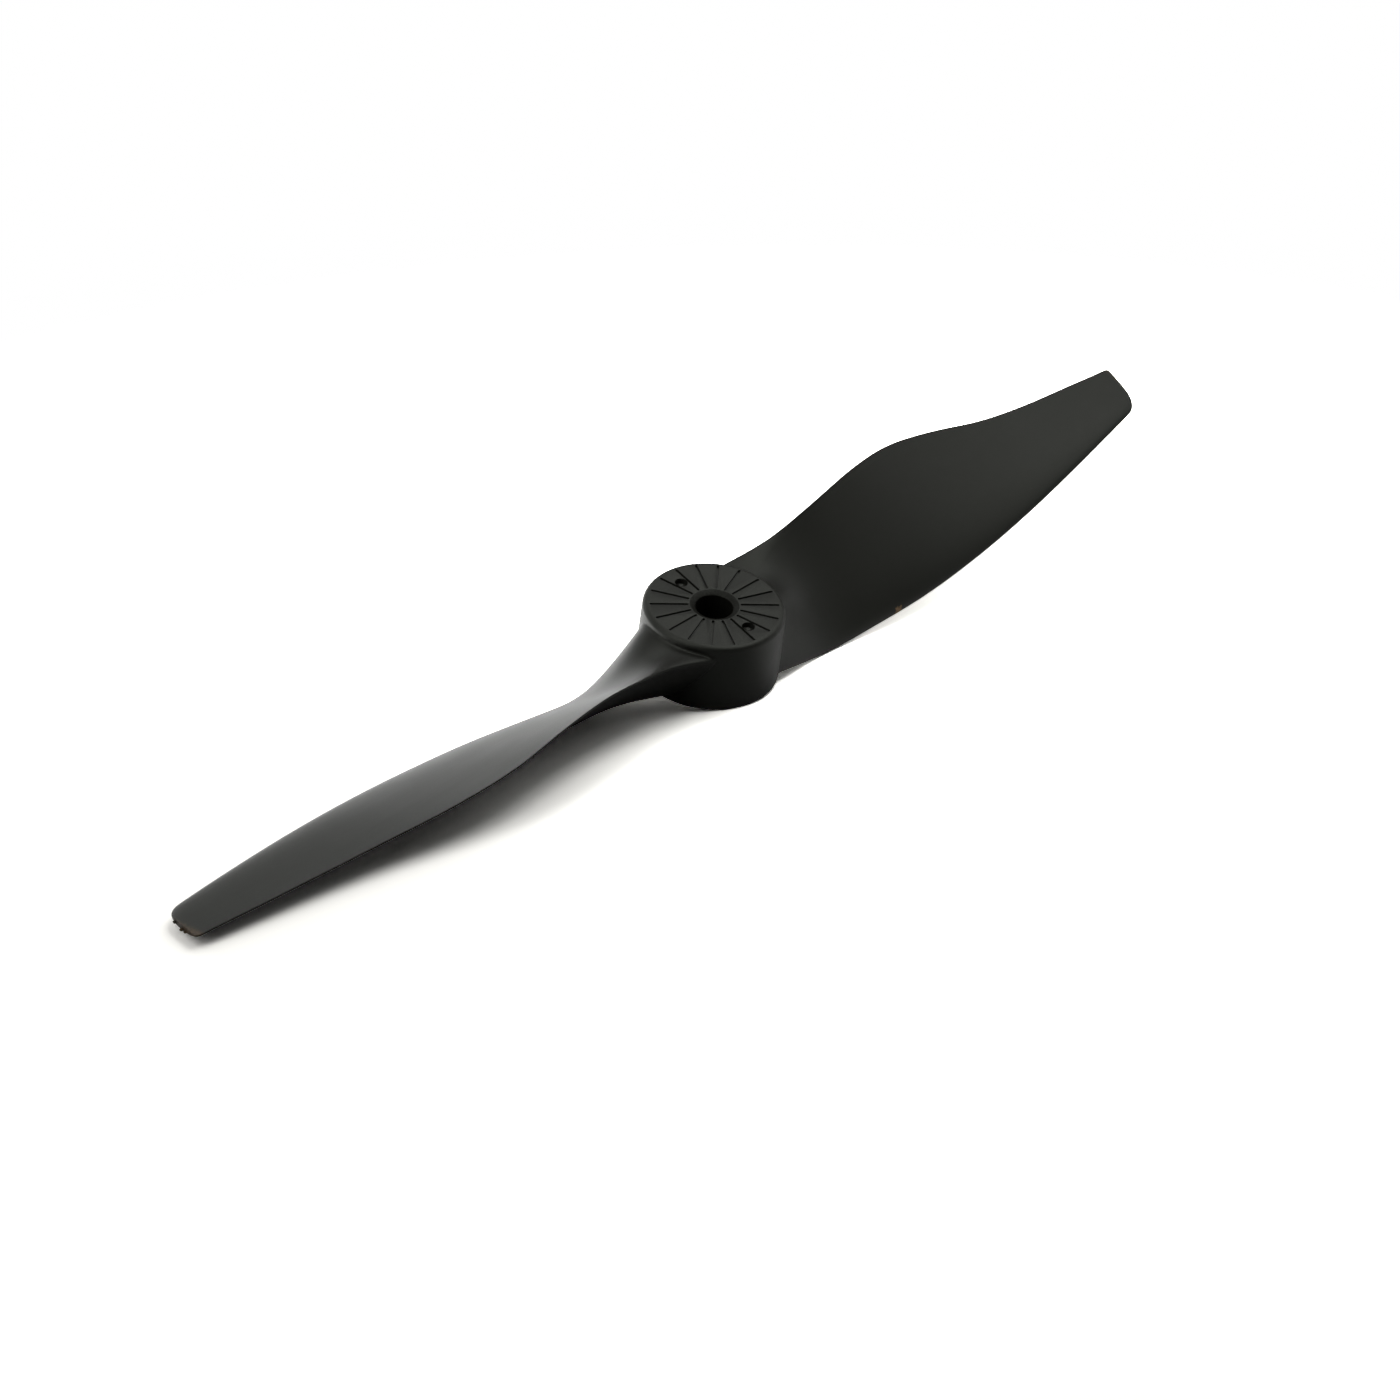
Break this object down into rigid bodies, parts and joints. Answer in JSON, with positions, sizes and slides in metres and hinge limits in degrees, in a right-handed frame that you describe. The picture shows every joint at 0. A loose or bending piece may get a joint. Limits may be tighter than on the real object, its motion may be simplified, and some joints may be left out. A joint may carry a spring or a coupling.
{
  "type": "model aircraft propeller",
  "caption": "One-piece moulded propeller for a model aircraft: a grooved cylindrical hub with a shaft bore and twisted, cambered blades with squared tips.",
  "frame": {"origin": "on the bore's axis, in the plane of the hub's front face", "axes": "+Z along the bore toward the drive face, +X along blade 1 from the hub to the tip, +Y from blade 1's leading edge toward its trailing edge"},
  "size_m": [0.2284, 0.0244, 0.0188],
  "materials": {
    "hub_plastic": "black moulded plastic with a fine matt texture",
    "blade_plastic": "black moulded plastic, satin on the blades"
  },
  "bodies": {
    "root": {"hub": "hub_plastic", "blade_1": "blade_plastic", "blade_2": "blade_plastic"}
  },
  "joints": []
}
